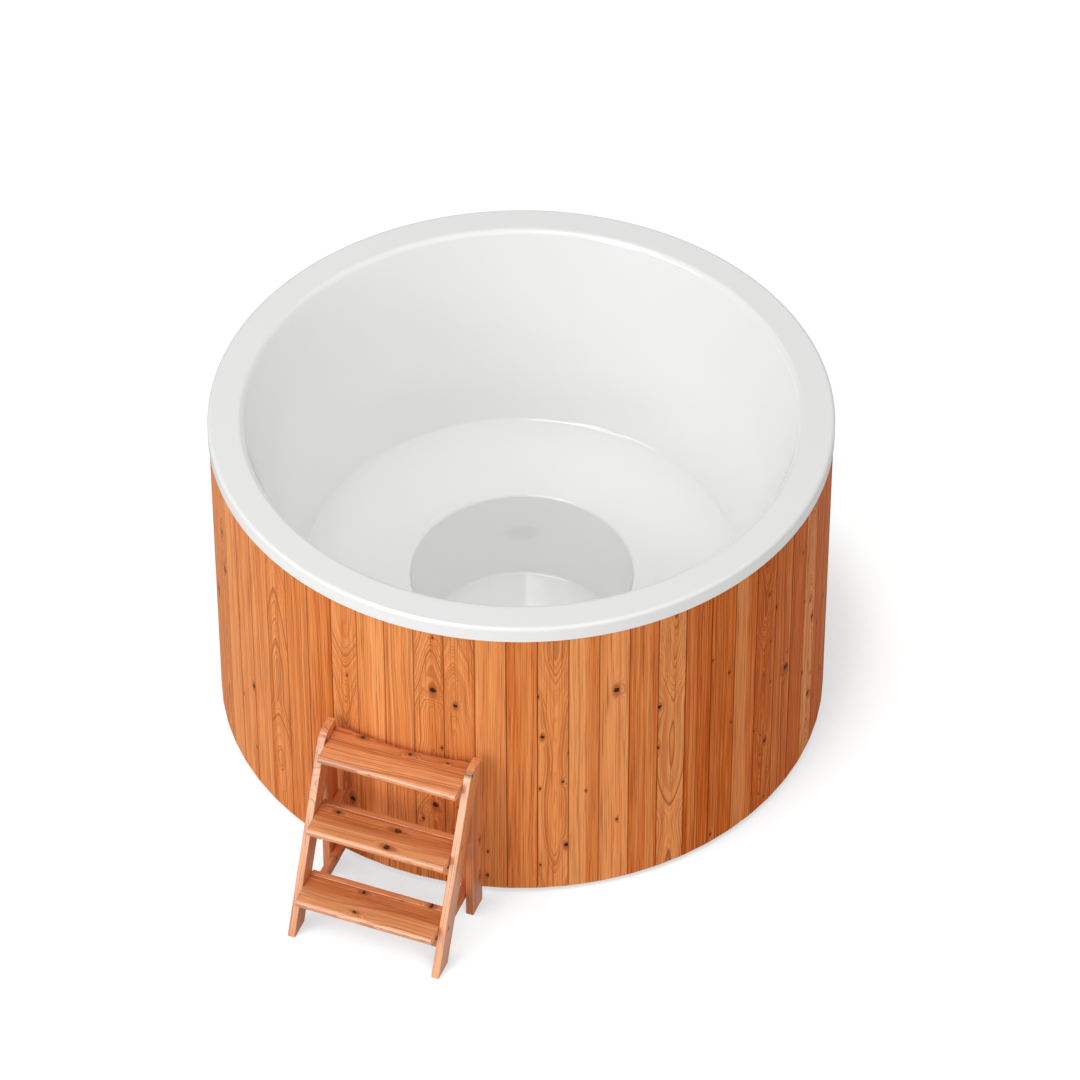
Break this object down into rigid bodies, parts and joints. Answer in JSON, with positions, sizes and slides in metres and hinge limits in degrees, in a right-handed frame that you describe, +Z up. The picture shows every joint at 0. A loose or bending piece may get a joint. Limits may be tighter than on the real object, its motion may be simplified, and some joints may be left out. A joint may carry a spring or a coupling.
{
  "type": "nordic hot tub",
  "caption": "Round hot tub with a white moulded insert, bench and foot well, upright wooden board cladding, free-standing wooden steps and a drain valve at the back.",
  "frame": {"origin": "on the floor under the tub's vertical axis", "axes": "+Z up; the steps stand on the -Y side and the drain leaves on the +Y side"},
  "size_m": [1.9998, 2.5354, 1.175],
  "materials": {
    "acrylic": "gloss white acrylic",
    "cladding_wood": "oiled softwood with knots",
    "step_wood": "oiled softwood with knots",
    "frame_pine": "sawn pine",
    "birch_plywood": "birch plywood",
    "grey_pvc": "moulded PVC",
    "black_rubber": "moulded rubber",
    "stainless_steel": "brushed",
    "nickel_brass": "nickel-plated brass",
    "chromed_ball": "polished chrome",
    "vinyl_grip": "dipped vinyl"
  },
  "bodies": {
    "tub": {"tub_shell": "acrylic", "cladding_01": "cladding_wood", "cladding_02": "cladding_wood", "cladding_03": "cladding_wood", "cladding_04": "cladding_wood", "cladding_05": "cladding_wood", "cladding_06": "cladding_wood", "cladding_07": "cladding_wood", "cladding_08": "cladding_wood", "frame_stud_1": "frame_pine", "frame_stud_2": "frame_pine", "frame_stud_3": "frame_pine", "frame_stud_4": "frame_pine", "frame_stud_5": "frame_pine", "frame_stud_6": "frame_pine", "base_bearer_left": "frame_pine", "base_bearer_centre": "frame_pine", "base_bearer_right": "frame_pine", "well_joist_left": "frame_pine", "well_joist_right": "frame_pine", "top_ring": "birch_plywood", "middle_ring": "birch_plywood", "base_deck": "birch_plywood", "shell_rib_1": "birch_plywood", "shell_rib_2": "birch_plywood", "shell_rib_3": "birch_plywood", "shell_rib_4": "birch_plywood", "shell_rib_5": "birch_plywood", "shell_rib_6": "birch_plywood", "drain_body": "grey_pvc", "drain_nut": "grey_pvc", "drain_sump": "grey_pvc", "drain_pipe": "grey_pvc", "wall_collar": "grey_pvc", "drain_gasket": "black_rubber", "drain_strainer": "stainless_steel", "valve_body": "nickel_brass", "hose_spigot": "nickel_brass"},
    "steps": {"left_stringer": "step_wood", "right_stringer": "step_wood", "left_post": "step_wood", "right_post": "step_wood", "lower_tread": "step_wood", "middle_tread": "step_wood", "top_tread": "step_wood", "lower_rail": "step_wood", "middle_rail": "step_wood", "left_lower_cleat": "step_wood", "right_lower_cleat": "step_wood", "left_middle_cleat": "step_wood", "right_middle_cleat": "step_wood", "left_top_cleat": "step_wood", "right_top_cleat": "step_wood"},
    "valve_handle": {"valve_ball": "chromed_ball", "valve_stem": "nickel_brass", "valve_lever": "stainless_steel", "lever_grip": "vinyl_grip"}
  },
  "joints": [
    {"name": "steps_slide", "type": "slide", "parent": "tub", "child": "steps", "axis": [0, -1, 0], "range_m": [0, 0.5]},
    {"name": "drain_valve", "type": "hinge", "parent": "tub", "child": "valve_handle", "pos_m": [0, 1.058, 0.106], "axis": [0, 0, -1], "range_deg": [0, 90]}
  ]
}
